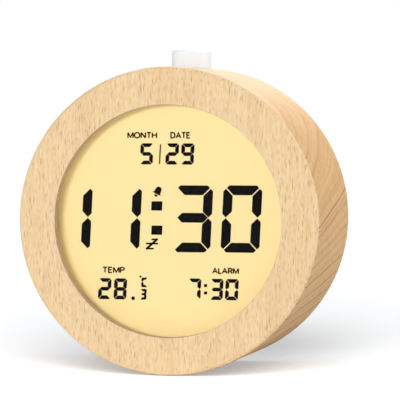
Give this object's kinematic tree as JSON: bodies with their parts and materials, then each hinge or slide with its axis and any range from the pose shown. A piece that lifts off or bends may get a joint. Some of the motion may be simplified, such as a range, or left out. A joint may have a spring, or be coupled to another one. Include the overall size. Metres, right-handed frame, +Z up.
{
  "type": "alarm clock",
  "caption": "Round tabletop alarm clock: turned beech drum with a recessed backlit digital display, a snooze button on top, and setting keys and a battery door behind.",
  "frame": {"origin": "on the table under the middle of the clock, at the bottom centre of its bounding box", "axes": "+Z up; the display faces -Y and the drum's axis runs along Y; +X is to the right as seen from the front"},
  "size_m": [0.088, 0.048, 0.0937],
  "materials": {
    "beech": "sanded, clear matt lacquer",
    "pad": "matt",
    "tape": "matt foam tape",
    "lens": "clear, polished",
    "polarizer": "satin film",
    "glass": "polished",
    "light_guide": "clear, dotted back",
    "reflector": "matt film",
    "inner_plastic": "fine moulded texture",
    "zebra": "matt",
    "board": "solder mask, satin",
    "steel": "nickel plated",
    "led": "clear resin",
    "resin": "cured resin",
    "capacitor": "matt",
    "button_white": "glossy, slightly translucent",
    "ivory": "moulded",
    "dark_plastic": "moulded",
    "cover_white": "fine spark-eroded texture",
    "key_grey": "satin silicone",
    "knob": "moulded, ribbed",
    "thermistor_resin": "dipped resin",
    "cell": "printed shrink sleeve",
    "wire_red": "pvc",
    "wire_black": "pvc",
    "ribbon": "pvc",
    "wire_yellow": "pvc"
  },
  "bodies": {
    "case": {"wooden_housing": "beech", "base_pad": "pad", "lens_tape_ring": "tape", "front_lens": "lens", "lcd_front_polarizer": "polarizer", "lcd_front_glass": "glass", "lcd_rear_glass": "glass", "lcd_rear_polarizer": "polarizer", "light_guide": "light_guide", "reflector_sheet": "reflector", "lcd_frame": "inner_plastic", "zebra_strip": "zebra", "main_board": "board", "frame_screws": "steel", "backlight_leds": "led", "controller_chip": "resin", "crystal": "steel", "capacitors": "capacitor", "inner_sleeve": "inner_plastic", "snooze_spring": "steel", "snooze_switch_housing": "dark_plastic", "snooze_board": "board", "snooze_board_screws": "steel", "rear_cover": "cover_white", "rear_cover_screws": "steel", "key_board": "board", "key_board_screws": "steel", "key_switch_housings": "dark_plastic", "alarm_switch_housing": "steel", "buzzer": "dark_plastic", "thermistor": "thermistor_resin", "upper_battery": "cell", "lower_battery": "cell", "battery_bridge_contact": "steel", "battery_negative_contact": "steel", "battery_positive_contact": "steel", "battery_lead_red": "wire_red", "battery_lead_black": "wire_black", "ribbon_cable": "ribbon", "snooze_leads": "wire_yellow"},
    "snooze": {"snooze_button": "button_white", "snooze_plunger": "ivory"},
    "mode": {"mode_key": "key_grey", "mode_plunger": "ivory"},
    "alarm": {"alarm_key": "key_grey", "alarm_plunger": "ivory"},
    "up": {"up_key": "key_grey", "up_plunger": "ivory"},
    "down": {"down_key": "key_grey", "down_plunger": "ivory"},
    "alarm_switch": {"alarm_switch_knob": "knob", "alarm_switch_slider": "dark_plastic"},
    "door": {"battery_door": "cover_white"}
  },
  "joints": [
    {"name": "snooze_press", "type": "slide", "parent": "case", "child": "snooze", "axis": [0, 0, -1], "range_m": [0, 0.0015], "stiffness_N_per_m": 800, "springref_m": -0.0005, "deforming": ["snooze_spring"]},
    {"name": "mode_press", "type": "slide", "parent": "case", "child": "mode", "axis": [0, -1, 0], "range_m": [0, 0.0005], "stiffness_N_per_m": 1000, "springref_m": -0.0003},
    {"name": "alarm_press", "type": "slide", "parent": "case", "child": "alarm", "axis": [0, -1, 0], "range_m": [0, 0.0005], "stiffness_N_per_m": 1000, "springref_m": -0.0003},
    {"name": "up_press", "type": "slide", "parent": "case", "child": "up", "axis": [0, -1, 0], "range_m": [0, 0.0005], "stiffness_N_per_m": 1000, "springref_m": -0.0003},
    {"name": "down_press", "type": "slide", "parent": "case", "child": "down", "axis": [0, -1, 0], "range_m": [0, 0.0005], "stiffness_N_per_m": 1000, "springref_m": -0.0003},
    {"name": "alarm_switch_slide", "type": "slide", "parent": "case", "child": "alarm_switch", "axis": [1, 0, 0], "range_m": [0, 0.003]},
    {"name": "battery_door_hinge", "type": "hinge", "parent": "case", "child": "door", "pos_m": [0, 0.0208, 0.02095], "axis": [-1, 0, 0], "range_deg": [0, 90]}
  ]
}
